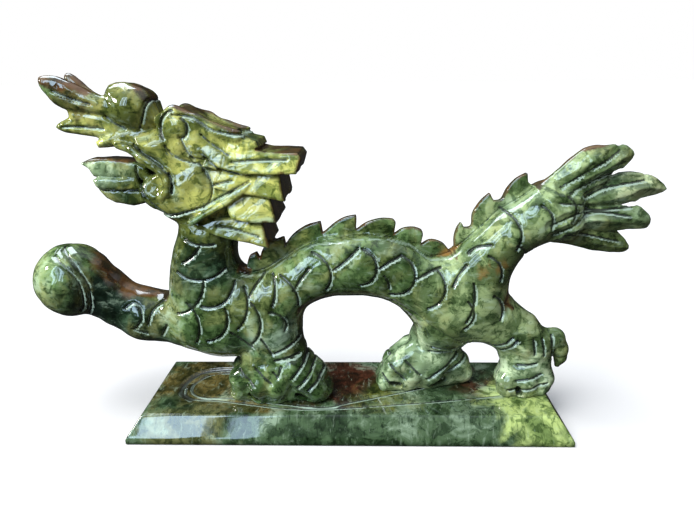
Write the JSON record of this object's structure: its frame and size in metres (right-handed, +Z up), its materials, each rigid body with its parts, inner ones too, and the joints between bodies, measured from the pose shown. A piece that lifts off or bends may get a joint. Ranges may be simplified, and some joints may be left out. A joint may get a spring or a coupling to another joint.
{
  "type": "jade figurine",
  "caption": "Carved green jade dragon striding over a bevelled stone plinth, head raised, a forepaw reaching out to hold a pearl, saw-toothed crest and fanned tail.",
  "frame": {"origin": "centre of the plinth's underside, on the surface that the figurine stands on", "axes": "+X runs from the head and pearl towards the tail, +Y from the dragon's left side to its right side, +Z is up"},
  "size_m": [0.3152, 0.07, 0.1755],
  "materials": {
    "plinth_jade": "polished mottled green and brown jade",
    "body_jade": "polished dark green jade",
    "hind_jade": "polished light green jade with brown veins",
    "tail_jade": "polished green jade",
    "crest_jade": "polished green jade with brown skin at the edges",
    "pearl_jade": "highly polished dark green jade",
    "head_jade": "polished olive green jade with brown skin",
    "mane_jade": "polished yellow-green jade with brown ends",
    "dowel_steel": "plain turned"
  },
  "bodies": {
    "root": {"plinth": "plinth_jade", "dowel_front": "dowel_steel", "dowel_middle": "dowel_steel", "dowel_rear": "dowel_steel", "front_foreleg": "body_jade", "middle_hindleg": "hind_jade", "rear_hindleg": "hind_jade", "torso": "body_jade", "hindquarters": "hind_jade", "neck": "body_jade", "tail": "hind_jade", "tail_fan": "tail_jade", "dorsal_crest": "crest_jade", "tail_crest": "crest_jade", "reaching_arm": "body_jade", "pearl": "pearl_jade", "head": "head_jade", "mane": "mane_jade", "lower_jaw": "head_jade", "lip_flourish": "head_jade"}
  },
  "joints": []
}
